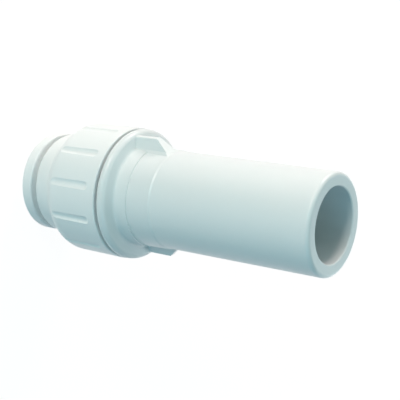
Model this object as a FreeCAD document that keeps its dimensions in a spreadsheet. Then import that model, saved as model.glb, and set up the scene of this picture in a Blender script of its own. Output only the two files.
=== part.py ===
import FreeCAD, Part
import Sketcher
import math
import os

# Stem reducer for plastic tube, in millimetres.
#
# A push-fit socket for a tube sits at one end and a plain stem, as wide as a larger tube, at the other.
# The piece stands on its collet head: the axis is Z, z = 0 is the collet's outer face and +Z runs
# towards the free end of the stem. The two wing ribs lie along X. The cap is unlocked, so there is a
# gap between its rim and the flange.

doc = FreeCAD.newDocument("StemReducer")

SIZES = [
    ("tube_radius", 7.94, "radius of the tube that the socket takes"),
    ("stem_radius", 11.11, "outer radius of the plain stem"),
    ("stem_length", 39.5, "stem from the boss to its free end"),
    ("stem_round", 0.9, "rounding of the free end"),
    ("stem_mouth", 0.2, "bevel round the bore at the free end"),
    ("stem_wall", 2.91, "wall of the stem round its bore"),
    ("boss_edge_step", 0.15, "how far the boss stands out where the stem starts"),
    ("boss_bevel", 0.4, "length of the bevel between stem and boss"),
    ("boss_length", 11.3, "boss front to the back of the flange"),
    ("boss_taper", 0.14, "how much the boss widens from its front to its fine step"),
    ("boss_step", 0.2, "height of the fine step round the boss"),
    ("boss_collar_length", 5.4, "fine step to the back of the flange"),
    ("boss_collar_taper", 0.2, "how much the boss widens from its fine step to the flange"),
    ("flange_inset", 0.15, "how far the flange stays inside the cap's rim"),
    ("flange_edge", 0.65, "straight edge of the flange"),
    ("flange_depth", 3.1, "root of the flange's sloped face to its back"),
    ("flange_round", 0.9, "rounding of the flange's front edge"),
    ("flange_back_round", 0.2, "rounding of the flange's back edge"),
    ("flange_cove", 1.4, "hollow rounding where the flange meets the boss"),
    ("wing_drop", 0.8, "how far a wing's flat top lies below the flange's edge"),
    ("wing_top_length", 7.8, "flat top of a wing, from the back of the flange"),
    ("wing_end_slope", 1.067, "growth of a wing along the axis for each millimetre inwards"),
    ("wing_embed", 0.7, "wing's end inside the flange, from the back of the flange"),
    ("wing_top_half", 0.65, "half the thickness of a wing at its top"),
    ("wing_draft", 0.3, "widening of a wing's side for each millimetre inwards"),
    ("wing_foot", 0.35, "height and width of the bevel along a wing's foot"),
    ("wing_round", 0.3, "rounding of a wing's top edges"),
    ("wing_count", 2, "wings round the boss"),
    ("pilot_length", 2.4, "guide land behind the flange"),
    ("pilot_gap", 0.3, "radial gap between the guide land and the cap"),
    ("spigot_wall", 1.6, "wall of the spigot under its thread, round the seal chamber"),
    ("spigot_length", 10.2, "back of the flange to the mouth of the spigot"),
    ("spigot_edge", 0.4, "bevel round the mouth of the spigot"),
    ("chamber_depth", 4.0, "mouth of the spigot to the seal's seat"),
    ("socket_gap", 0.16, "radial gap between the tube and the socket"),
    ("socket_length", 11.4, "seal's seat to the tube stop"),
    ("stop_width", 1.04, "how far the tube stop reaches inside the tube's radius"),
    ("stop_height", 2.0, "tube stop along the axis"),
    ("seam_gap", 0.8, "gap between cap and flange while unlocked"),
    ("thread_space", 1.2, "radial room for the thread between spigot and cap"),
    ("cap_length", 20.9, "cap from its nose to its rim"),
    ("cap_wall", 2.05, "wall of the cap at its rim"),
    ("cap_taper", 0.15, "how much the barrel narrows from the rim to the shoulder"),
    ("cap_rim_round", 0.3, "rounding of the cap's rim"),
    ("cap_barrel_length", 13.55, "rim to the start of the shoulder"),
    ("cap_shoulder_length", 3.45, "shoulder along the axis, before rounding"),
    ("cap_shoulder_round", 4.2, "convex rounding of the shoulder"),
    ("cap_cove_round", 2.5, "hollow rounding between nose and shoulder"),
    ("nose_wall", 2.1, "wall of the nose round the collet's neck"),
    ("nose_taper", 0.05, "how much the nose narrows to its face"),
    ("cap_nose_round", 0.4, "rounding of the nose's edge"),
    ("nose_bore_length", 1.9, "straight bore through the nose"),
    ("nose_gap", 0.2, "radial gap between the collet's neck and the nose"),
    ("cone_length", 3.6, "cone inside the cap"),
    ("ledge_width", 1.8, "ledge in the cap that the spacer ring's flange meets"),
    ("rim_bevel", 0.4, "lead-in at the cap's rim"),
    ("groove_count", 12, "grip grooves round the cap"),
    ("groove_phase", 5.5, "angle of the first groove from X, in degrees"),
    ("groove_cutter", 1.4, "radius of a groove's section"),
    ("groove_depth", 0.45, "depth of a groove below the rim's radius"),
    ("groove_rim_land", 1.7, "plain band between the grooves and the rim"),
    ("head_length", 2.85, "collet head along the axis"),
    ("head_step", 0.05, "how far the collet head stands outside the nose's face"),
    ("head_round", 0.5, "rounding of the head's edges"),
    ("head_lead", 0.5, "lead-in at the mouth of the collet"),
    ("release_travel", 1.4, "how far the collet pushes in"),
    ("stop_gap", 0.2, "gap left between head and nose when pushed in"),
    ("collet_gap", 0.21, "radial gap between the tube and the collet"),
    ("neck_wall", 1.25, "wall of the collet's neck"),
    ("finger_gap", 0.3, "gap between the fingers and what they move beside"),
    ("finger_lead", 0.5, "bevel at the tips of the fingers"),
    ("finger_count", 8, "fingers of the collet, each with a tooth"),
    ("slit_width", 1.2, "slit between two fingers"),
    ("slit_root", 2.1, "collet head to the closed end of a slit"),
    ("tooth_bite", 0.07, "how far a tooth's edge stands inside the tube's radius"),
    ("tooth_setback", 1.5, "finger tip to the tooth's edge"),
    ("tooth_length", 2.1, "tooth along the radius"),
    ("tooth_drop", 0.75, "slope of a tooth over its length"),
    ("tooth_thickness", 0.5, "tooth along the axis"),
    ("tooth_bevel", 0.6, "length of the tooth's sharpened edge"),
    ("tooth_width", 3.0, "tooth across the finger"),
    ("spacer_gap", 0.8, "gap between spacer ring and spigot while unlocked"),
    ("spacer_flange", 1.2, "flange of the spacer ring along the axis"),
    ("spacer_height", 2.8, "spacer ring along the axis"),
    ("spacer_bore_gap", 0.36, "radial gap between the tube and the spacer ring"),
    ("spacer_side_gap", 0.25, "radial gap round the spacer ring's sleeve"),
    ("seat_gap", 0.2, "gap between the spacer ring and the cap's ledge"),
    ("seal_section", 1.2, "radius of the seal's round section"),
    ("seal_bite", 0.07, "how far the seal stands inside the tube's radius"),
    ("seal_room", 0.13, "radial gap round the seal in its chamber"),
    ("seal_play", 0.05, "gap between the seal and its seat"),
]

sheet = doc.addObject("Spreadsheet::Sheet", "Sizes")
for row, (alias, number, meaning) in enumerate(SIZES, start=1):
    sheet.set(f"A{row}", meaning)
    sheet.set(f"B{row}", str(number))
    sheet.setAlias(f"B{row}", alias)
doc.recompute()

# Stations along the axis, each worked out from the one before it
HEAD_TOP = "Sizes.head_length"
NOSE_FACE = f"{HEAD_TOP} + Sizes.release_travel + Sizes.stop_gap"
CAP_RIM = f"{NOSE_FACE} + Sizes.cap_length"
FLANGE_BACK = f"{CAP_RIM} + Sizes.seam_gap"
FLANGE_ROOT = f"{FLANGE_BACK} + Sizes.flange_depth"
BOSS_STEP = f"{FLANGE_BACK} + Sizes.boss_collar_length"
BOSS_FRONT = f"{FLANGE_BACK} + Sizes.boss_length"
STEM_FOOT = f"{BOSS_FRONT} + Sizes.boss_bevel"
STEM_END = f"{STEM_FOOT} + Sizes.stem_length"
SPIGOT_MOUTH = f"{FLANGE_BACK} - Sizes.spigot_length"
SEAL_SEAT = f"{SPIGOT_MOUTH} + Sizes.chamber_depth"
TUBE_STOP = f"{SEAL_SEAT} + Sizes.socket_length"
SPACER_FOOT = f"{SPIGOT_MOUTH} - Sizes.spacer_gap - Sizes.spacer_flange"
CAP_LEDGE = f"{SPACER_FOOT} - Sizes.seat_gap"
CONE_START = f"{NOSE_FACE} + Sizes.nose_bore_length"
CONE_END = f"{CONE_START} + Sizes.cone_length"
FINGER_TIP = f"{SPACER_FOOT} - Sizes.release_travel - Sizes.finger_gap"
TOOTH_EDGE = f"{FINGER_TIP} - Sizes.tooth_setback"
BARREL_END = f"{CAP_RIM} - Sizes.cap_barrel_length"
SHOULDER_END = f"{BARREL_END} - Sizes.cap_shoulder_length"

# Radii, each worked out from what it fits round or inside
SOCKET_RADIUS = "Sizes.tube_radius + Sizes.socket_gap"
STOP_RADIUS = "Sizes.tube_radius - Sizes.stop_width"
SEAL_BORE = "Sizes.tube_radius - Sizes.seal_bite"
CHAMBER_RADIUS = f"{SEAL_BORE} + 2 * Sizes.seal_section + Sizes.seal_room"
SPIGOT_RADIUS = f"{CHAMBER_RADIUS} + Sizes.spigot_wall"
CAP_BORE_RADIUS = f"{SPIGOT_RADIUS} + Sizes.thread_space"
CAP_RIM_RADIUS = f"{CAP_BORE_RADIUS} + Sizes.cap_wall"
CAP_BARREL_RADIUS = f"{CAP_RIM_RADIUS} - Sizes.cap_taper"
CAM_RADIUS = f"{CAP_BORE_RADIUS} - Sizes.ledge_width"
PILOT_RADIUS = f"{CAP_BORE_RADIUS} - Sizes.pilot_gap"
FLANGE_RADIUS = f"{CAP_RIM_RADIUS} - Sizes.flange_inset"
COLLET_BORE = "Sizes.tube_radius + Sizes.collet_gap"
NECK_RADIUS = f"{COLLET_BORE} + Sizes.neck_wall"
NOSE_BORE = f"{NECK_RADIUS} + Sizes.nose_gap"
NOSE_RADIUS = f"{NOSE_BORE} + Sizes.nose_wall"
NOSE_FACE_RADIUS = f"{NOSE_RADIUS} - Sizes.nose_taper"
HEAD_RADIUS = f"{NOSE_FACE_RADIUS} + Sizes.head_step"
FINGER_RADIUS = f"{CAM_RADIUS} - Sizes.finger_gap"
TOOTH_EDGE_RADIUS = "Sizes.tube_radius - Sizes.tooth_bite"
SPACER_BORE = "Sizes.tube_radius + Sizes.spacer_bore_gap"
SLEEVE_RADIUS = f"{CHAMBER_RADIUS} - Sizes.spacer_side_gap"
WATERWAY_RADIUS = "Sizes.stem_radius - Sizes.stem_wall"
BOSS_FRONT_RADIUS = "Sizes.stem_radius + Sizes.boss_edge_step"
BOSS_WAIST_RADIUS = f"{BOSS_FRONT_RADIUS} + Sizes.boss_taper"
BOSS_COLLAR_RADIUS = f"{BOSS_WAIST_RADIUS} + Sizes.boss_step"
BOSS_ROOT_RADIUS = f"{BOSS_COLLAR_RADIUS} + Sizes.boss_collar_taper"

# The wings, from their tops down into the middle of the boss's wall
WING_TOP = f"{FLANGE_RADIUS} - Sizes.wing_drop"
WING_FOOT = f"{BOSS_WAIST_RADIUS} + Sizes.wing_foot"
WING_ROOT = f"({SOCKET_RADIUS} + {BOSS_FRONT_RADIUS}) / 2"

# Roundings that the flange's sloped face leaves room for
FLANGE_SLOPE = f"({FLANGE_RADIUS} - ({BOSS_ROOT_RADIUS}))"
FLANGE_ROUND = f"min(Sizes.flange_round; 0.3 * {FLANGE_SLOPE})"
FLANGE_COVE = f"min(Sizes.flange_cove; 0.5 * {FLANGE_SLOPE})"

# Points closer than this are the same
NEAR = 0.001


def value_of(expression):
    """The number that an expression on the sheet has now."""
    return float(sheet.evalExpression(expression))


def new_body(name):
    """An empty body named and labelled as the piece it becomes."""
    body = doc.addObject("PartDesign::Body", name)
    body.Label = name
    body.Placement = FreeCAD.Placement()
    return body


def origin_plane(body, role):
    """One of the body's own origin planes."""
    return [item for item in body.Origin.OriginFeatures if item.Role == role][0]


def new_sketch(body, name, role):
    """An empty sketch flat on one of the body's origin planes."""
    sketch = body.newObject("Sketcher::SketchObject", name)
    sketch.AttachmentSupport = [(origin_plane(body, role), "")]
    sketch.MapMode = "FlatFace"
    return sketch


def turn_sketch(sketch, angle):
    """Turn an upright sketch about the body's Z axis by an angle bound to the sheet."""
    upright = FreeCAD.Vector(0, 1, 0)
    sketch.AttachmentOffset = FreeCAD.Placement(FreeCAD.Vector(), FreeCAD.Rotation(upright, value_of(angle)))
    sketch.setExpression("AttachmentOffset.Rotation.Angle", angle)


def raise_sketch(sketch, height):
    """Move a sketch off its plane by a distance bound to the sheet."""
    sketch.AttachmentOffset = FreeCAD.Placement(FreeCAD.Vector(0, 0, value_of(height)), FreeCAD.Rotation())
    sketch.setExpression("AttachmentOffset.Base.z", height)


def bind_point(sketch, index, point, across, along):
    """Bind one point of a sketch to the sheet: across from its upright axis, along from its level one."""
    for kind, axis, expression in (("DistanceX", -2, across), ("DistanceY", -1, along)):
        number = value_of(expression)
        if number == 0:
            sketch.addConstraint(Sketcher.Constraint("PointOnObject", index, point, axis))
            continue
        constraint = sketch.addConstraint(Sketcher.Constraint(kind, -1, 1, index, point, number))
        sketch.setExpression(f"Constraints[{constraint}]", expression)


def draw_outline(sketch, corners):
    """A closed straight-sided outline, each corner an (across, along) pair of expressions."""
    points = [FreeCAD.Vector(value_of(across), value_of(along), 0) for across, along in corners]
    for start, end in zip(points, points[1:] + points[:1]):
        sketch.addGeometry(Part.LineSegment(start, end), False)
    for index in range(len(points)):
        sketch.addConstraint(Sketcher.Constraint("Coincident", index, 2, (index + 1) % len(points), 1))
    for index, (across, along) in enumerate(corners):
        bind_point(sketch, index, 1, across, along)


def turn_profile(body, name, corners):
    """Turn a closed (radius, height) outline once round the Z axis."""
    sketch = new_sketch(body, f"{name}_profile", "XZ_Plane")
    draw_outline(sketch, corners)
    turned = body.newObject("PartDesign::Revolution", name)
    turned.Profile = sketch
    turned.ReferenceAxis = (sketch, ["V_Axis"])
    turned.Angle = 360
    doc.recompute()
    return turned


def ring_edges(shape, rings):
    """Names of the full circles of a shape that lie at the given (radius, height) pairs."""
    found = []
    for number, edge in enumerate(shape.Edges, start=1):
        if edge.Curve.TypeId != "Part::GeomCircle" or not edge.isClosed():
            continue
        for radius, height in rings:
            same_radius = abs(edge.Curve.Radius - value_of(radius)) < NEAR
            if same_radius and abs(edge.Curve.Center.z - value_of(height)) < NEAR:
                found.append(f"Edge{number}")
    if len(found) != len(rings):
        raise ValueError(f"{len(rings)} round edges wanted and {len(found)} found")
    return found


def round_edges(body, name, edges, radius):
    """Fillet edges of the body's present tip."""
    base = body.Tip
    fillet = body.newObject("PartDesign::Fillet", name)
    fillet.Base = (base, edges)
    fillet.setExpression("Radius", radius)
    doc.recompute()
    return fillet


def round_rings(body, name, rings, radius):
    """Fillet the circles of the body's present tip at the given (radius, height) pairs."""
    return round_edges(body, name, ring_edges(body.Tip.Shape, rings), radius)


def repeat_round_axis(body, name, feature, count):
    """Repeat a feature evenly round the Z axis."""
    pattern = body.newObject("PartDesign::PolarPattern", name)
    pattern.Originals = [feature]
    pattern.Axis = (origin_plane(body, "Z_Axis"), [""])
    pattern.Angle = 360
    pattern.setExpression("Occurrences", count)
    body.Tip = pattern
    doc.recompute()
    return pattern


def pocket_across(body, name, sketch, width):
    """Cut a sketch's outline through the tip, half the width to each side of its plane."""
    before = body.Tip.Shape.Volume
    pocket = body.newObject("PartDesign::Pocket", name)
    pocket.Profile = sketch
    pocket.Type = "Length"
    pocket.Midplane = True
    pocket.setExpression("Length", width)
    doc.recompute()
    check_cut(pocket, before)
    return pocket


def check_cut(feature, before):
    """Stop if a cut took nothing away."""
    if feature.Shape.Volume >= before:
        raise ValueError(f"{feature.Name} cuts nothing")


def make_fitting_body():
    """The main moulding: stem, boss, flange and wings outside, socket and seal chamber inside."""
    body = new_body("fitting_body")
    turn_profile(body, "moulding", [
        (WATERWAY_RADIUS, f"{STEM_END} - Sizes.stem_mouth"),
        (f"{WATERWAY_RADIUS} + Sizes.stem_mouth", STEM_END),
        ("Sizes.stem_radius", STEM_END),
        ("Sizes.stem_radius", STEM_FOOT),
        (BOSS_FRONT_RADIUS, BOSS_FRONT),
        (BOSS_WAIST_RADIUS, BOSS_STEP),
        (BOSS_COLLAR_RADIUS, BOSS_STEP),
        (BOSS_ROOT_RADIUS, FLANGE_ROOT),
        (FLANGE_RADIUS, f"{FLANGE_BACK} + Sizes.flange_edge"),
        (FLANGE_RADIUS, FLANGE_BACK),
        (PILOT_RADIUS, FLANGE_BACK),
        (PILOT_RADIUS, f"{FLANGE_BACK} - Sizes.pilot_length"),
        (SPIGOT_RADIUS, f"{FLANGE_BACK} - Sizes.pilot_length"),
        (SPIGOT_RADIUS, f"{SPIGOT_MOUTH} + Sizes.spigot_edge"),
        (f"{SPIGOT_RADIUS} - Sizes.spigot_edge", SPIGOT_MOUTH),
        (CHAMBER_RADIUS, SPIGOT_MOUTH),
        (CHAMBER_RADIUS, SEAL_SEAT),
        (SOCKET_RADIUS, SEAL_SEAT),
        (SOCKET_RADIUS, TUBE_STOP),
        (STOP_RADIUS, TUBE_STOP),
        (STOP_RADIUS, f"{TUBE_STOP} + Sizes.stop_height"),
        (WATERWAY_RADIUS, f"{TUBE_STOP} + Sizes.stop_height"),
    ])
    front_edge = (FLANGE_RADIUS, f"{FLANGE_BACK} + Sizes.flange_edge")
    round_rings(body, "flange_front_round", [front_edge], FLANGE_ROUND)
    round_rings(body, "flange_back_round", [(FLANGE_RADIUS, FLANGE_BACK)], "Sizes.flange_back_round")
    round_rings(body, "flange_cove", [(BOSS_ROOT_RADIUS, FLANGE_ROOT)], FLANGE_COVE)
    round_rings(body, "stem_end_round", [("Sizes.stem_radius", STEM_END)], "Sizes.stem_round")
    add_wings(body)
    return body


def add_wings(body):
    """Two tapered ribs from the flange down a slope to the foot of the boss, with a bevel along their feet."""
    foot_half = f"Sizes.wing_top_half + Sizes.wing_draft * ({WING_TOP} - ({WING_FOOT}))"
    root_half = f"{foot_half} + {WING_FOOT} - {WING_ROOT}"
    sections = []
    for name, height, half in (
            ("wing_root", WING_ROOT, root_half),
            ("wing_foot_section", WING_FOOT, foot_half),
            ("wing_top", WING_TOP, "Sizes.wing_top_half")):
        sketch = new_sketch(body, name, "YZ_Plane")
        raise_sketch(sketch, height)
        near_end = f"{FLANGE_BACK} + Sizes.wing_embed"
        top_end = f"{FLANGE_BACK} + Sizes.wing_top_length"
        far_end = f"{top_end} + Sizes.wing_end_slope * ({WING_TOP} - ({height}))"
        draw_outline(sketch, [
            (f"-({half})", near_end),
            (half, near_end),
            (half, far_end),
            (f"-({half})", far_end),
        ])
        sections.append(sketch)
    wing = body.newObject("PartDesign::AdditiveLoft", "wing")
    wing.Profile = sections[0]
    wing.Sections = sections[1:]
    wing.Ruled = True
    doc.recompute()
    repeat_round_axis(body, "wings", wing, "Sizes.wing_count")
    round_edges(body, "wing_rounds", wing_top_edges(body.Tip.Shape), "Sizes.wing_round")


def wing_top_edges(shape):
    """The edges round the flat tops of the wings that lie on the X axis."""
    top = value_of(WING_TOP)
    names = []
    for number, edge in enumerate(shape.Edges, start=1):
        ends = [vertex.Point for vertex in edge.Vertexes]
        if len(ends) != 2 or edge.Curve.TypeId != "Part::GeomLine":
            continue
        if all(abs(abs(end.x) - top) < NEAR for end in ends):
            names.append(f"Edge{number}")
    return names


def make_o_ring():
    """The rubber seal, lying against its seat in the chamber."""
    body = new_body("o_ring")
    sketch = new_sketch(body, "seal_section", "XZ_Plane")
    across = f"{SEAL_BORE} + Sizes.seal_section"
    along = f"{SEAL_SEAT} - Sizes.seal_play - Sizes.seal_section"
    centre = FreeCAD.Vector(value_of(across), value_of(along), 0)
    radius = value_of("Sizes.seal_section")
    sketch.addGeometry(Part.Circle(centre, FreeCAD.Vector(0, 0, 1), radius), False)
    bind_point(sketch, 0, 3, across, along)
    constraint = sketch.addConstraint(Sketcher.Constraint("Radius", 0, radius))
    sketch.setExpression(f"Constraints[{constraint}]", "Sizes.seal_section")
    turned = body.newObject("PartDesign::Revolution", "seal")
    turned.Profile = sketch
    turned.ReferenceAxis = (sketch, ["V_Axis"])
    turned.Angle = 360
    doc.recompute()
    return body


def make_spacer_ring():
    """The ring between the collet and the seal: a flange on the cap's ledge and a sleeve in the chamber."""
    body = new_body("spacer_ring")
    turn_profile(body, "ring", [
        (SPACER_BORE, SPACER_FOOT),
        (PILOT_RADIUS, SPACER_FOOT),
        (PILOT_RADIUS, f"{SPACER_FOOT} + Sizes.spacer_flange"),
        (SLEEVE_RADIUS, f"{SPACER_FOOT} + Sizes.spacer_flange"),
        (SLEEVE_RADIUS, f"{SPACER_FOOT} + Sizes.spacer_height"),
        (SPACER_BORE, f"{SPACER_FOOT} + Sizes.spacer_height"),
    ])
    return body


def make_screw_cap():
    """The cap: grooved barrel, rounded shoulder and nose, with the cone that squeezes the collet."""
    body = new_body("screw_cap")
    turn_profile(body, "cap", [
        (f"{CAP_BORE_RADIUS} + Sizes.rim_bevel", CAP_RIM),
        (CAP_RIM_RADIUS, CAP_RIM),
        (CAP_BARREL_RADIUS, BARREL_END),
        (NOSE_RADIUS, SHOULDER_END),
        (NOSE_FACE_RADIUS, NOSE_FACE),
        (NOSE_BORE, NOSE_FACE),
        (NOSE_BORE, CONE_START),
        (CAM_RADIUS, CONE_END),
        (CAM_RADIUS, CAP_LEDGE),
        (CAP_BORE_RADIUS, CAP_LEDGE),
        (CAP_BORE_RADIUS, f"{CAP_RIM} - Sizes.rim_bevel"),
    ])
    round_rings(body, "shoulder_round", [(CAP_BARREL_RADIUS, BARREL_END)], "Sizes.cap_shoulder_round")
    round_rings(body, "shoulder_cove", [(NOSE_RADIUS, SHOULDER_END)], "Sizes.cap_cove_round")
    round_rings(body, "nose_round", [(NOSE_FACE_RADIUS, NOSE_FACE)], "Sizes.cap_nose_round")
    round_rings(body, "rim_round", [(CAP_RIM_RADIUS, CAP_RIM)], "Sizes.cap_rim_round")
    add_grip_grooves(body)
    return body


def add_grip_grooves(body):
    """Shallow round-ended grooves that run from the plain band at the rim out through the shoulder."""
    sketch = new_sketch(body, "groove_section", "XZ_Plane")
    turn_sketch(sketch, "Sizes.groove_phase")
    floor = f"{CAP_RIM_RADIUS} - Sizes.groove_depth"
    centre = f"{floor} + Sizes.groove_cutter"
    top = f"{CAP_RIM} - Sizes.groove_rim_land"
    spring = f"{top} - Sizes.groove_cutter"
    on_axis, end, side, low = [
        FreeCAD.Vector(value_of(across), value_of(along), 0)
        for across, along in ((centre, SHOULDER_END), (centre, top), (floor, spring), (floor, SHOULDER_END))]
    radius = value_of("Sizes.groove_cutter")
    hub = FreeCAD.Vector(on_axis.x, side.y, 0)
    end_circle = Part.Circle(hub, FreeCAD.Vector(0, 0, 1), radius)
    sketch.addGeometry(Part.LineSegment(on_axis, end), False)
    sketch.addGeometry(Part.ArcOfCircle(end_circle, math.pi / 2, math.pi), False)
    sketch.addGeometry(Part.LineSegment(side, low), False)
    sketch.addGeometry(Part.LineSegment(low, on_axis), False)
    for index in range(4):
        sketch.addConstraint(Sketcher.Constraint("Coincident", index, 2, (index + 1) % 4, 1))
    bind_point(sketch, 0, 1, centre, SHOULDER_END)
    bind_point(sketch, 1, 1, centre, top)
    bind_point(sketch, 1, 2, floor, spring)
    bind_point(sketch, 3, 1, floor, SHOULDER_END)
    constraint = sketch.addConstraint(Sketcher.Constraint("Radius", 1, radius))
    sketch.setExpression(f"Constraints[{constraint}]", "Sizes.groove_cutter")
    axis = sketch.addGeometry(Part.LineSegment(on_axis, end), True)
    sketch.addConstraint(Sketcher.Constraint("Coincident", axis, 1, 0, 1))
    sketch.addConstraint(Sketcher.Constraint("Coincident", axis, 2, 0, 2))
    before = body.Tip.Shape.Volume
    groove = body.newObject("PartDesign::Groove", "groove")
    groove.Profile = sketch
    groove.ReferenceAxis = (sketch, ["Axis0"])
    groove.Angle = 360
    doc.recompute()
    check_cut(groove, before)
    repeat_round_axis(body, "grooves", groove, "Sizes.groove_count")


def make_collet():
    """The collet: a round head to push, a neck, and slit fingers whose cone seats in the cap."""
    body = new_body("collet")
    turn_profile(body, "gripper", [
        (f"{COLLET_BORE} + Sizes.head_lead", "0"),
        (HEAD_RADIUS, "0"),
        (HEAD_RADIUS, HEAD_TOP),
        (NECK_RADIUS, HEAD_TOP),
        (NECK_RADIUS, f"{CONE_START} + Sizes.nose_gap"),
        (FINGER_RADIUS, CONE_END),
        (FINGER_RADIUS, f"{FINGER_TIP} - Sizes.finger_lead"),
        (f"{FINGER_RADIUS} - Sizes.finger_lead", FINGER_TIP),
        (f"{COLLET_BORE} + Sizes.finger_lead", FINGER_TIP),
        (COLLET_BORE, f"{FINGER_TIP} - Sizes.finger_lead"),
        (COLLET_BORE, "Sizes.head_lead"),
    ])
    round_rings(body, "head_rounds", [(HEAD_RADIUS, "0"), (HEAD_RADIUS, HEAD_TOP)], "Sizes.head_round")
    slit = new_sketch(body, "slit_outline", "XZ_Plane")
    turn_sketch(slit, "180 / Sizes.finger_count")
    slit_foot = f"{HEAD_TOP} + Sizes.slit_root"
    draw_outline(slit, [
        (STOP_RADIUS, slit_foot),
        (CAP_BORE_RADIUS, slit_foot),
        (CAP_BORE_RADIUS, f"{FINGER_TIP} + Sizes.finger_lead"),
        (STOP_RADIUS, f"{FINGER_TIP} + Sizes.finger_lead"),
    ])
    cut = pocket_across(body, "slit", slit, "Sizes.slit_width")
    repeat_round_axis(body, "slits", cut, "Sizes.finger_count")
    seat = new_sketch(body, "tooth_seat_outline", "XZ_Plane")
    draw_outline(seat, tooth_outline("0"))
    cut = pocket_across(body, "tooth_seat", seat, "Sizes.tooth_width")
    repeat_round_axis(body, "tooth_seats", cut, "Sizes.finger_count")
    return body


def tooth_outline(bevel):
    """A tooth's sloped section; a bevel of 0 leaves the whole slot that the tooth sits in."""
    root = f"{TOOTH_EDGE_RADIUS} + Sizes.tooth_length"
    drop = f"Sizes.tooth_drop * ({bevel}) / Sizes.tooth_length"
    return [
        (TOOTH_EDGE_RADIUS, TOOTH_EDGE),
        (root, f"{TOOTH_EDGE} - Sizes.tooth_drop"),
        (root, f"{TOOTH_EDGE} - Sizes.tooth_drop + Sizes.tooth_thickness"),
        (f"{TOOTH_EDGE_RADIUS} + {bevel}", f"{TOOTH_EDGE} - {drop} + Sizes.tooth_thickness"),
    ]


def make_tooth(number):
    """One steel tooth, sharpened at its inner edge and set in its own finger."""
    body = new_body(f"tooth_{number}")
    sketch = new_sketch(body, f"tooth_{number}_outline", "XZ_Plane")
    draw_outline(sketch, tooth_outline("Sizes.tooth_bevel"))
    blade = body.newObject("PartDesign::Pad", f"tooth_{number}_blade")
    blade.Profile = sketch
    blade.Type = "Length"
    blade.Midplane = True
    blade.setExpression("Length", "Sizes.tooth_width")
    turn = FreeCAD.Rotation(FreeCAD.Vector(0, 0, 1), (number - 1) * 360 / value_of("Sizes.finger_count"))
    body.Placement = FreeCAD.Placement(FreeCAD.Vector(), turn)
    doc.recompute()
    return body


def check_model(pieces):
    """Stop if any object failed or any piece is not one sound solid."""
    doc.recompute()
    for item in doc.Objects:
        if "Invalid" in item.State or "Error" in item.State:
            raise ValueError(f"{item.Name} failed: {item.State}")
    for piece in pieces:
        if piece.Shape.isNull() or not piece.Shape.isValid() or len(piece.Shape.Solids) != 1:
            raise ValueError(f"{piece.Label} is not one sound solid")


pieces = [make_fitting_body(), make_o_ring(), make_spacer_ring(), make_screw_cap(), make_collet()]
pieces += [make_tooth(number) for number in range(1, int(value_of("Sizes.finger_count")) + 1)]
check_model(pieces)
os.makedirs("parts", exist_ok=True)
for piece in pieces:
    piece.Shape.exportStep(f"parts/{piece.Label}.step")
    box = piece.Shape.BoundBox
    print(f"{piece.Label}: {piece.Shape.Volume:.1f} mm3, z {box.ZMin:.2f} to {box.ZMax:.2f}")
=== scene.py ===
import bmesh
import bpy
import numpy as np
from mathutils import Matrix, Vector


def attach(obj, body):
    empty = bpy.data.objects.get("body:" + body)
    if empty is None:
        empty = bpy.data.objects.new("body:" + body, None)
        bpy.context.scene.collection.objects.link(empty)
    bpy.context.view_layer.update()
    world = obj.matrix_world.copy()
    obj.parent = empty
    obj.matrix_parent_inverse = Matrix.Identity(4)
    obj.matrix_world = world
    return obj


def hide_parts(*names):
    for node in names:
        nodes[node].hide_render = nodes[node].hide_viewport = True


# Stem reducer for plastic tube, standing on its collet head, seen from above and beside its stem.
# The pieces follow in the order in which the fitting is put together.

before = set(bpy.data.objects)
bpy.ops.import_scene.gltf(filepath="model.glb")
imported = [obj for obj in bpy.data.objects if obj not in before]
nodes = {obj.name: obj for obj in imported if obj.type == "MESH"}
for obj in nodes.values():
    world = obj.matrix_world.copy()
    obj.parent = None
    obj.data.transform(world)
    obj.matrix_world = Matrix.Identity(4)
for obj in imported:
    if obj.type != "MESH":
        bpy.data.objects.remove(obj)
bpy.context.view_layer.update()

# Fitting body
# The main moulding: plain stem, boss with two wings, flange, and the socket for the smaller tube.
# White glass-smooth nylon or acetal, shot in one go into a turned and polished steel mould.
MM = 0.001


def feed(tree, socket, source):
    """Give a socket its source: the output of another node, or a plain value."""
    if isinstance(source, bpy.types.NodeSocket):
        tree.links.new(source, socket)
    else:
        socket.default_value = source


def place(tree, kind, inputs=None, **settings):
    """A node of that kind in a tree, with its settings made and its named or numbered inputs fed."""
    node = tree.nodes.new(kind)
    for name, value in settings.items():
        setattr(node, name, value)
    for label, source in (inputs or {}).items():
        feed(tree, node.inputs[label], source)
    return node


def arithmetic(tree, operation, *operands):
    """The result of one Math node; each operand is a socket or a plain number."""
    return place(tree, "ShaderNodeMath", dict(enumerate(operands)), operation=operation).outputs[0]


def noise_at(tree, spot, scale):
    """A noise texture read at a spot; a higher scale means finer marks."""
    return place(tree, "ShaderNodeTexNoise", {"Vector": spot, "Scale": scale}).outputs["Fac"]


def drawn_out(tree, spot, share):
    """The spot with its height cut to a share, which draws marks out along the height."""
    return place(tree, "ShaderNodeMapping", {"Vector": spot, "Scale": (1.0, 1.0, share)}).outputs["Vector"]


def blend(tree, share, first, second):
    """Two colours mixed: the first at share 0, the second at share 1."""
    mix = place(tree, "ShaderNodeMix", {"Factor": share, "A": first, "B": second}, data_type="RGBA")
    return mix.outputs["Result"]


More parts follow.
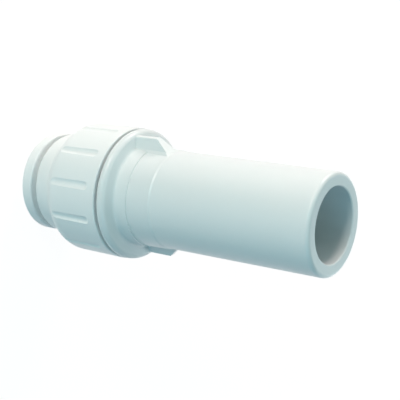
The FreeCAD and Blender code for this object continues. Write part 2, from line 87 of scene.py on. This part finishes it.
def new_skin(name, values):
    """An empty shader group for a surface's skin, with an input for each named value.

    A tuple makes a colour input and a number a plain one. The outputs are Colour, Roughness and Height.
    """
    group = bpy.data.node_groups.new(name, "ShaderNodeTree")
    for label, value in values.items():
        kind = "NodeSocketColor" if isinstance(value, tuple) else "NodeSocketFloat"
        group.interface.new_socket(label, in_out="INPUT", socket_type=kind).default_value = value
    group.interface.new_socket("Colour", in_out="OUTPUT", socket_type="NodeSocketColor")
    group.interface.new_socket("Roughness", in_out="OUTPUT", socket_type="NodeSocketFloat")
    group.interface.new_socket("Height", in_out="OUTPUT", socket_type="NodeSocketFloat")
    return group


STREAK_SCALE = 900.0
STREAK_DRAW = 0.12


def moulded_skin():
    """Skin of an injection moulding: faint clouds of tint, flow streaks along the draw, a fine grain."""
    group = new_skin("moulded_skin", {
        "Resin": (0.8, 0.8, 0.8, 1.0),
        "Cloud tint": (0.75, 0.78, 0.8, 1.0),
        "Cloud share": 0.3,
        "Cloud scale": 90.0,
        "Polish": 0.35,
        "Polish spread": 0.1,
        "Grain scale": 2500.0,
        "Grain share": 0.12,
    })
    given = place(group, "NodeGroupInput").outputs
    spot = place(group, "ShaderNodeTexCoord").outputs["Object"]
    clouds = noise_at(group, spot, given["Cloud scale"])
    streaks = noise_at(group, drawn_out(group, spot, STREAK_DRAW), STREAK_SCALE)
    grain = noise_at(group, spot, given["Grain scale"])
    cloud_share = arithmetic(group, "MULTIPLY", clouds, given["Cloud share"])
    uneven = arithmetic(group, "SUBTRACT", arithmetic(group, "ADD", streaks, clouds), 1.0)
    grainy = arithmetic(group, "MULTIPLY_ADD", grain, given["Grain share"], clouds)
    place(group, "NodeGroupOutput", {
        "Colour": blend(group, cloud_share, given["Resin"], given["Cloud tint"]),
        "Roughness": arithmetic(group, "MULTIPLY_ADD", uneven, given["Polish spread"], given["Polish"]),
        "Height": arithmetic(group, "MULTIPLY_ADD", streaks, given["Grain share"], grainy),
    })
    return group


def skin_material(name, skin_group, skin_values, relief_depth, relief_strength, surface_values):
    """A material whose Principled sockets take a skin's colour, roughness and relief.

    skin_values and surface_values name the sockets that differ from what the skin and the shader have.
    """
    material = bpy.data.materials.new(name)
    material.use_nodes = True
    tree = material.node_tree
    skin = place(tree, "ShaderNodeGroup", node_tree=skin_group)
    for label, value in skin_values.items():
        skin.inputs[label].default_value = value
    bump = place(tree, "ShaderNodeBump", {
        "Distance": relief_depth, "Strength": relief_strength, "Height": skin.outputs["Height"]})
    surface = tree.nodes["Principled BSDF"]
    sources = {
        "Base Color": skin.outputs["Colour"], "Roughness": skin.outputs["Roughness"],
        "Normal": bump.outputs["Normal"], **surface_values}
    for label, source in sources.items():
        feed(tree, surface.inputs[label], source)
    return material


MOULDED_SKIN = moulded_skin()
MOULDED_RELIEF = 0.01 * MM
MOULDED_RELIEF_STRENGTH = 0.25
PLASTIC_IOR = 1.48


def moulded_plastic(name, resin, cloud_tint, polish):
    """A moulded plastic in its own colour, cloud tint and polish."""
    skin_values = {"Resin": (*resin, 1.0), "Cloud tint": (*cloud_tint, 1.0), "Polish": polish}
    return skin_material(
        name, MOULDED_SKIN, skin_values, MOULDED_RELIEF, MOULDED_RELIEF_STRENGTH, {"IOR": PLASTIC_IOR})


def dress(node_name, material):
    """Put a material in every slot of a solid."""
    for slot in nodes[node_name].material_slots:
        slot.material = material


body_plastic = moulded_plastic("body_plastic", (0.785, 0.81, 0.805), (0.725, 0.77, 0.775), 0.34)
dress("fitting_body", body_plastic)

# Sizes of the flange's front in mm. A pair is a radius and a height, or a width and a height.
# The solid has a small edge round, a straight slope and a cove up to the fine step on the boss.
RIM_RADIUS = 15.1
RIM_CORNER = 26.347
EDGE_ROUND = 0.9
SLOPE_TOP = (14.737, 27.070)
SLOPE_FOOT = (12.306, 28.875)
COVE_CENTRE = (13.140, 30.000)
COVE_RADIUS = 1.4
COVE_END = (11.745, 29.880)
COVE_END_FALL = 11.0
COVE_MARGIN = 0.3
FINE_STEP = 31.55
# The real collar has a larger round, a nearly flat face and a tight root.
COLLAR_EDGE = 26.70
COLLAR_ROUND = (1.30, 1.30)
COLLAR_FACE_SLOPE = 0.16
ROOT_SQUEEZE = 0.4
COLLAR_CUTS = 9
LEAST_RISE = 0.001
FRONT_BAND = 0.03
FRONT_FACING = 0.97
# Distances in metres under which points are one, a point lies on a cut, and an edge is a sliver's.
SAME_POINT = 0.0001 * MM
ON_CUT = 0.001 * MM
SLIVER = 0.002 * MM


def slope_front(radius):
    """Height and fall of the solid's front at a radius; the fall is the drop in height per mm outwards.

    From the rim inwards these are a circle of the edge round, a straight line from the slope's top to
    its foot, and a circle of the cove. Inside the cove's end the height stays.
    """
    edge = RIM_RADIUS - EDGE_ROUND
    edge_rise = np.sqrt(np.clip(EDGE_ROUND ** 2 - (radius - edge) ** 2, 0.0, None))
    cove_drop = np.sqrt(np.clip(COVE_RADIUS ** 2 - (COVE_CENTRE[0] - radius) ** 2, 0.0, None))
    steepness = (SLOPE_FOOT[1] - SLOPE_TOP[1]) / (SLOPE_TOP[0] - SLOPE_FOOT[0])
    parts = [radius >= SLOPE_TOP[0], radius >= SLOPE_FOOT[0], radius >= COVE_END[0]]
    heights = [
        RIM_CORNER + edge_rise,
        SLOPE_TOP[1] + (SLOPE_TOP[0] - radius) * steepness,
        COVE_CENTRE[1] - cove_drop]
    falls = [
        (radius - edge) / np.maximum(edge_rise, LEAST_RISE),
        np.full_like(radius, steepness),
        (COVE_CENTRE[0] - radius) / np.maximum(cove_drop, LEAST_RISE)]
    return np.select(parts, heights, COVE_END[1]), np.select(parts, falls, COVE_END_FALL)


def collar_front(radius):
    """Height and fall of the real collar's front at a radius.

    From the rim inwards these are a quarter ellipse, a straight face with the face's slope, and the
    solid's cove with its heights squeezed towards the face's foot.
    """
    across, along = COLLAR_ROUND
    shoulder = RIM_RADIUS - across
    share = np.clip((radius - shoulder) / across, 0.0, 1.0)
    rise = np.sqrt(np.clip(1.0 - share ** 2, 0.0, None))
    solid_height, solid_fall = slope_front(radius)
    face_foot = COLLAR_EDGE + along + (shoulder - SLOPE_FOOT[0]) * COLLAR_FACE_SLOPE
    parts = [radius >= shoulder, radius >= SLOPE_FOOT[0]]
    heights = [
        COLLAR_EDGE + along * rise,
        COLLAR_EDGE + along + (shoulder - radius) * COLLAR_FACE_SLOPE]
    falls = [
        along / across * share / np.maximum(rise, LEAST_RISE),
        np.full_like(radius, COLLAR_FACE_SLOPE)]
    root_height = face_foot + (solid_height - SLOPE_FOOT[1]) * ROOT_SQUEEZE
    return np.select(parts, heights, root_height), np.select(parts, falls, solid_fall * ROOT_SQUEEZE)


def cut_into_rings(mesh):
    """Cut a mesh at level heights along the slope, with equal spaces, and dissolve the slivers left."""
    work = bmesh.new()
    work.from_mesh(mesh)
    bmesh.ops.remove_doubles(work, verts=work.verts, dist=SAME_POINT)
    for height in np.linspace(SLOPE_TOP[1], SLOPE_FOOT[1], COLLAR_CUTS + 2)[1:-1]:
        everything = work.verts[:] + work.edges[:] + work.faces[:]
        bmesh.ops.bisect_plane(
            work, geom=everything, dist=ON_CUT, plane_co=(0.0, 0.0, height * MM), plane_no=(0.0, 0.0, 1.0))
    bmesh.ops.dissolve_degenerate(work, dist=SLIVER, edges=work.edges)
    work.to_mesh(mesh)
    work.free()


def with_collar(node, name):
    """A copy of the moulding whose flange front has the full round and tight root of the real one.

    The slope is first cut into rings. Then each point between the rim's corner and the fine step keeps
    its radius, and its height goes from its share of the way corner, slope, step to the same share of the
    way corner, collar front, step. Corners that lay on the slope take the normal of the collar front,
    (fall * cos, fall * sin, 1) scaled to length 1, and all others keep theirs.
    """
    mesh = node.data.copy()
    mesh.name = name
    normals = np.empty(3 * len(mesh.loops), dtype=np.float32)
    mesh.corner_normals.foreach_get("vector", normals)
    mesh.attributes.new("kept_normal", "FLOAT_VECTOR", "CORNER").data.foreach_set("vector", normals)
    cut_into_rings(mesh)
    spots = np.empty(3 * len(mesh.vertices))
    mesh.vertices.foreach_get("co", spots)
    spots = spots.reshape(-1, 3) / MM
    radius = np.hypot(spots[:, 0], spots[:, 1])
    height = spots[:, 2].copy()
    solid, solid_fall = slope_front(radius)
    collar, collar_fall = collar_front(radius)
    moved = (radius > COVE_END[0] - COVE_MARGIN) & (height > RIM_CORNER) & (height < FINE_STEP)
    share_below = (height - RIM_CORNER) / np.maximum(solid - RIM_CORNER, LEAST_RISE)
    below = np.minimum(RIM_CORNER + share_below * (collar - RIM_CORNER), collar)
    above = collar + (height - solid) * (FINE_STEP - collar) / (FINE_STEP - solid)
    spots[:, 2] = np.where(moved, np.where(height <= solid, below, above), height)
    corner_spot = np.empty(len(mesh.loops), dtype=np.int32)
    mesh.loops.foreach_get("vertex_index", corner_spot)
    normals = np.empty(3 * len(mesh.loops), dtype=np.float32)
    mesh.attributes["kept_normal"].data.foreach_get("vector", normals)
    normals = normals.reshape(-1, 3)
    outwards = spots[:, :2] / radius[:, None]

    def leaning(fall):
        lean = np.column_stack([outwards * fall[:, None], np.ones_like(fall)])
        return (lean / np.linalg.norm(lean, axis=1)[:, None])[corner_spot]

    on_front = (moved & (np.abs(height - solid) < FRONT_BAND))[corner_spot]
    on_front &= np.sum(normals * leaning(solid_fall), axis=1) > FRONT_FACING
    normals = np.where(on_front[:, None], leaning(collar_fall), normals)
    mesh.vertices.foreach_set("co", (spots * MM).ravel())
    mesh.attributes.remove(mesh.attributes["kept_normal"])
    mesh.update()
    mesh.normals_split_custom_set(normals.tolist())
    copy = bpy.data.objects.new(name, mesh)
    bpy.context.scene.collection.objects.link(copy)
    return copy


main_moulding = with_collar(nodes["fitting_body"], "main_moulding")
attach(main_moulding, "body")
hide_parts("fitting_body")

# Thread on the spigot
# One ridge winding round the spigot under the cap, right-handed, a quarter turn to 0.55 mm.
# Moulded with the body in a split mould; it runs out to nothing at both ends.
SPIGOT_RADIUS = 12.0 * MM
SPIGOT_CREST_RADIUS = 12.95 * MM
SPIGOT_THREAD_START = 17.1 * MM
SPIGOT_THREAD_TURNS = 2.7
THREAD_PITCH = 2.2 * MM
THREAD_ROOT_WIDTH = 1.34 * MM
THREAD_FLANK = 0.364
THREAD_EMBED = 0.05 * MM
THREAD_RUN_OUT = 0.08
THREAD_STUMP = 0.02
THREAD_STEPS = 96


def thread_ridge(name, root_radius, crest_radius, first_height, turns):
    """A closed helical ridge.

    At t turns the section's middle lies at height first_height + pitch * t and at the angle of t turns.
    The section is a trapezoid from just inside the root radius to root + (crest - root) * g, where
    g grows from a stump to 1 over the run-out at each end, and its flanks lean in by the flank's tangent.
    """
    count = int(round(turns * THREAD_STEPS)) + 1
    turn = np.linspace(0.0, turns, count)
    grown = np.clip(np.minimum(turn, turns - turn) / THREAD_RUN_OUT, THREAD_STUMP, 1.0)
    height = (crest_radius - root_radius) * grown
    outwards = np.sign(crest_radius - root_radius)
    root_half = np.full(count, THREAD_ROOT_WIDTH / 2)
    crest_half = root_half - THREAD_FLANK * np.abs(height)
    middle = first_height + THREAD_PITCH * turn
    foot = np.full(count, root_radius - outwards * THREAD_EMBED)
    crest = root_radius + height
    radii = np.stack([foot, foot, crest, crest], axis=1)
    heights = np.stack(
        [middle - root_half, middle + root_half, middle + crest_half, middle - crest_half], axis=1)
    angle = 2.0 * np.pi * turn[:, None]
    spots = np.stack([radii * np.cos(angle), radii * np.sin(angle), heights], axis=2).reshape(-1, 3)
    first = 4 * np.arange(count - 1)[:, None]
    corner = np.arange(4)[None, :]
    after = (corner + 1) % 4
    strip = np.stack([first + corner, first + after, first + 4 + after, first + 4 + corner], axis=2)
    last = 4 * (count - 1)
    ends = np.array([[3, 2, 1, 0], [last, last + 1, last + 2, last + 3]])
    faces = np.concatenate([strip.reshape(-1, 4), ends])
    if outwards < 0:
        faces = faces[:, ::-1]
    mesh = bpy.data.meshes.new(name)
    mesh.from_pydata(spots, [], faces.tolist())
    ridge = bpy.data.objects.new(name, mesh)
    bpy.context.scene.collection.objects.link(ridge)
    return ridge


body_thread = thread_ridge(
    "body_thread", SPIGOT_RADIUS, SPIGOT_CREST_RADIUS, SPIGOT_THREAD_START, SPIGOT_THREAD_TURNS)
body_thread.data.materials.append(body_plastic)
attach(body_thread, "body")

# Seal
# The black ring that seals on the tube, in its chamber in the mouth of the spigot.
# Moulded nitrile rubber with a dusty bloom, pressed in behind the spacer ring.
BLOOM_THINNING = 3.0
BLOOM_DULLING = 0.25
RUBBER_GRAIN_SCALE = 6000.0
RUBBER_RELIEF = 0.01 * MM
RUBBER_RELIEF_STRENGTH = 0.5


def rubber_skin():
    """Skin of moulded rubber: pale bloom in patches on the black, dull where it lies thickest."""
    group = new_skin("rubber_skin", {
        "Rubber": (0.02, 0.02, 0.022, 1.0),
        "Bloom": (0.09, 0.09, 0.095, 1.0),
        "Bloom scale": 700.0,
        "Dullness": 0.55,
    })
    given = place(group, "NodeGroupInput").outputs
    spot = place(group, "ShaderNodeTexCoord").outputs["Object"]
    patches = noise_at(group, spot, given["Bloom scale"])
    dusted = arithmetic(group, "POWER", patches, BLOOM_THINNING)
    place(group, "NodeGroupOutput", {
        "Colour": blend(group, dusted, given["Rubber"], given["Bloom"]),
        "Roughness": arithmetic(group, "MULTIPLY_ADD", patches, BLOOM_DULLING, given["Dullness"]),
        "Height": noise_at(group, spot, RUBBER_GRAIN_SCALE),
    })
    return group


seal_rubber = skin_material("seal_rubber", rubber_skin(), {}, RUBBER_RELIEF, RUBBER_RELIEF_STRENGTH, {})
dress("o_ring", seal_rubber)

# Spacer ring
# A pale washer with a sleeve that keeps the collet off the seal.
# Moulded in harder plastic, dropped into the cap before it is screwed on.
spacer_plastic = moulded_plastic("spacer_plastic", (0.72, 0.73, 0.72), (0.66, 0.68, 0.68), 0.5)
dress("spacer_ring", spacer_plastic)

# Screw cap
# The grooved cap that turns a quarter turn to lock the collet.
# The same white plastic as the body, a shade paler, from a mould with the same polish.
cap_plastic = moulded_plastic("cap_plastic", (0.87, 0.88, 0.87), (0.81, 0.84, 0.84), 0.34)
dress("screw_cap", cap_plastic)

# Thread in the cap
# The mating ridge, half a pitch below the one on the spigot, with 0.2 mm of play between the flanks.
# Moulded with the cap and left by turning the core out of it.
CAP_BORE_RADIUS = 13.2 * MM
CAP_CREST_RADIUS = 12.25 * MM
CAP_THREAD_START = SPIGOT_THREAD_START - THREAD_PITCH / 2
CAP_THREAD_TURNS = 2.8
cap_thread = thread_ridge(
    "cap_thread", CAP_BORE_RADIUS, CAP_CREST_RADIUS, CAP_THREAD_START, CAP_THREAD_TURNS)
cap_thread.data.materials.append(cap_plastic)
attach(cap_thread, "cap")

# Collet
# The ring that is pushed in to free the tube, with eight springy fingers.
# White acetal, moulded with its fingers slit and the teeth set in.
collet_plastic = moulded_plastic("collet_plastic", (0.89, 0.90, 0.89), (0.83, 0.86, 0.86), 0.34)
dress("collet", collet_plastic)

# Teeth
# Eight bent blades in the fingers that bite into the tube when it is pulled.
# Stamped from stainless strip, with the rolling marks along each blade, and moulded in.
TOOTH_COUNT = 8
ROLLED_DRAW = 0.05
STREAK_DULLING = 0.15
STEEL_RELIEF = 0.005 * MM
STEEL_RELIEF_STRENGTH = 0.5


def steel_skin():
    """Rolled strip: fine marks along the strip, brighter and duller in long thin streaks."""
    group = new_skin("rolled_steel", {
        "Bright": (0.66, 0.66, 0.65, 1.0),
        "Dull": (0.48, 0.48, 0.47, 1.0),
        "Streak scale": 5000.0,
        "Polish": 0.28,
    })
    given = place(group, "NodeGroupInput").outputs
    spot = place(group, "ShaderNodeTexCoord").outputs["Object"]
    streaks = noise_at(group, drawn_out(group, spot, ROLLED_DRAW), given["Streak scale"])
    place(group, "NodeGroupOutput", {
        "Colour": blend(group, streaks, given["Bright"], given["Dull"]),
        "Roughness": arithmetic(group, "MULTIPLY_ADD", streaks, STREAK_DULLING, given["Polish"]),
        "Height": streaks,
    })
    return group


tooth_steel = skin_material(
    "tooth_steel", steel_skin(), {}, STEEL_RELIEF, STEEL_RELIEF_STRENGTH, {"Metallic": 1.0})
for tooth_number in range(1, TOOTH_COUNT + 1):
    dress(f"tooth_{tooth_number}", tooth_steel)

# Floor and light
# A plain pale table top under the part and soft square lamps round it.
# The floor shows white to the camera and keeps the part's soft shadow.
CENTRE = Vector((0.0, 0.0, 0.0387))
LAMP_DISTANCE = 0.5
# Each lamp's name, direction from the centre, side in metres, power in watts and colour.
LAMPS = [
    ("key", (0.77, -0.61, 0.15), 0.12, 0.96, (1.0, 0.87, 0.85)),
    ("front_key", (0.87, 0.40, 0.12), 0.12, 0.96, (1.0, 0.83, 0.76)),
    ("low_key", (0.60, 0.78, 0.08), 0.12, 0.50, (0.62, 1.0, 0.97)),
    ("top_soft", (0.90, -0.50, 0.60), 0.40, 0.52, (0.93, 1.0, 0.98)),
    ("behind", (-0.35, -0.75, 0.25), 0.40, 0.50, (0.80, 0.96, 1.0)),
    ("left_soft", (-0.80, -0.60, 0.30), 0.40, 0.45, (1.0, 0.97, 0.96)),
    ("end_soft", (0.26, 0.18, 1.38), 0.40, 0.54, (0.62, 1.0, 0.97)),
    ("cool_fill", (-0.58, 1.09, 0.69), 0.40, 0.56, (0.34, 0.78, 1.0)),
]


def add_lamp(name, direction, side, power, colour):
    """A square soft lamp at LAMP_DISTANCE from the centre, facing it."""
    lamp = bpy.data.lights.new(name, "AREA")
    lamp.shape = "SQUARE"
    lamp.size = side
    lamp.energy = power
    lamp.color = colour
    holder = bpy.data.objects.new(name, lamp)
    bpy.context.scene.collection.objects.link(holder)
    away = Vector(direction).normalized()
    holder.location = CENTRE + away * LAMP_DISTANCE
    holder.rotation_mode = "QUATERNION"
    holder.rotation_quaternion = away.to_track_quat("Z", "Y")


for lamp_values in LAMPS:
    add_lamp(*lamp_values)


def seen_directly(tree):
    """1 for rays from the camera or through a mirror or glass, 0 for the light that surfaces exchange."""
    path = place(tree, "ShaderNodeLightPath").outputs
    camera_or_mirror = arithmetic(tree, "MAXIMUM", path["Is Camera Ray"], path["Is Glossy Ray"])
    return arithmetic(tree, "MAXIMUM", camera_or_mirror, path["Is Transmission Ray"])


def choose(tree, hidden, shown):
    """One shader for the light that surfaces exchange, and another where it is seen directly."""
    return place(tree, "ShaderNodeMixShader", {0: seen_directly(tree), 1: hidden, 2: shown}).outputs[0]


FLOOR_HALF = 1.5
FLOOR_PALE = (0.8, 0.8, 0.8, 1.0)
FLOOR_SHADOW = (0.15, 0.15, 0.15, 1.0)
GLOW_NEAR = 0.93
GLOW_FAR = 1.0
GLOW_NEAR_RADIUS = 0.15
GLOW_FAR_RADIUS = 0.40


def floor_material():
    """Pale and matt to the light; seen directly it is white with a little of the shadow left.

    The glow that makes it white grows smoothly with the distance from the part, because the lamps that
    carry the shadow add less light there.
    """
    material = bpy.data.materials.new("pale_floor")
    material.use_nodes = True
    tree = material.node_tree
    tree.nodes.remove(tree.nodes["Principled BSDF"])
    spot = place(tree, "ShaderNodeTexCoord").outputs["Object"]
    reach = place(tree, "ShaderNodeVectorMath", {0: spot}, operation="LENGTH")
    growth = place(tree, "ShaderNodeMapRange", {
        "Value": reach.outputs["Value"], "From Min": GLOW_NEAR_RADIUS, "From Max": GLOW_FAR_RADIUS,
        "To Min": GLOW_NEAR, "To Max": GLOW_FAR}, interpolation_type="SMOOTHSTEP")
    glow = place(tree, "ShaderNodeEmission", {"Strength": growth.outputs["Result"]})
    matt = place(tree, "ShaderNodeBsdfDiffuse", {"Color": FLOOR_PALE})
    thin = place(tree, "ShaderNodeBsdfDiffuse", {"Color": FLOOR_SHADOW})
    white = place(tree, "ShaderNodeAddShader", {0: thin.outputs[0], 1: glow.outputs[0]})
    surface = tree.nodes["Material Output"].inputs["Surface"]
    feed(tree, surface, choose(tree, matt.outputs[0], white.outputs[0]))
    return material


floor_mesh = bpy.data.meshes.new("floor")
floor_mesh.from_pydata(
    [(-FLOOR_HALF, -FLOOR_HALF, 0.0), (FLOOR_HALF, -FLOOR_HALF, 0.0),
     (FLOOR_HALF, FLOOR_HALF, 0.0), (-FLOOR_HALF, FLOOR_HALF, 0.0)], [], [(0, 1, 2, 3)])
floor_mesh.materials.append(floor_material())
floor = bpy.data.objects.new("floor", floor_mesh)
bpy.context.scene.collection.objects.link(floor)

AMBIENT = (0.45, 0.85, 1.0, 1.0)
AMBIENT_STRENGTH = 0.04
WHITE = (1.0, 1.0, 1.0, 1.0)
world = bpy.data.worlds.new("studio")
world.use_nodes = True
bpy.context.scene.world = world
sky = world.node_tree
ambient = place(sky, "ShaderNodeBackground", {"Color": AMBIENT, "Strength": AMBIENT_STRENGTH})
backdrop = place(sky, "ShaderNodeBackground", {"Color": WHITE, "Strength": 1.0})
sky.nodes.remove(sky.nodes["Background"])
sky_surface = sky.nodes["World Output"].inputs["Surface"]
feed(sky, sky_surface, choose(sky, ambient.outputs[0], backdrop.outputs[0]))

# Camera
# It looks down on the fitting from beside its stem, rolled so that the stem points to the right.
# The place and the turn were fitted to the outline in the picture.
CAMERA_PLACE = Vector((82.17, 173.24, 173.77)) * MM
CAMERA_RIGHT = Vector((-0.0930, -0.5696, 0.8166))
CAMERA_UP = Vector((0.9316, -0.3392, -0.1305))
CAMERA_LENS = 93.6
SENSOR_WIDTH = 36.0
NEAREST_SEEN = 0.01
FARTHEST_SEEN = 10.0
camera = bpy.data.cameras.new("camera")
camera.lens = CAMERA_LENS
camera.sensor_width = SENSOR_WIDTH
camera.clip_start = NEAREST_SEEN
camera.clip_end = FARTHEST_SEEN
camera_holder = bpy.data.objects.new("camera", camera)
bpy.context.scene.collection.objects.link(camera_holder)
right = CAMERA_RIGHT.normalized()
back = right.cross(CAMERA_UP).normalized()
up = back.cross(right)
turned = Matrix((right, up, back)).transposed().to_4x4()
camera_holder.matrix_world = Matrix.Translation(CAMERA_PLACE) @ turned
bpy.context.scene.camera = camera_holder
bpy.context.scene.view_settings.view_transform = "Standard"
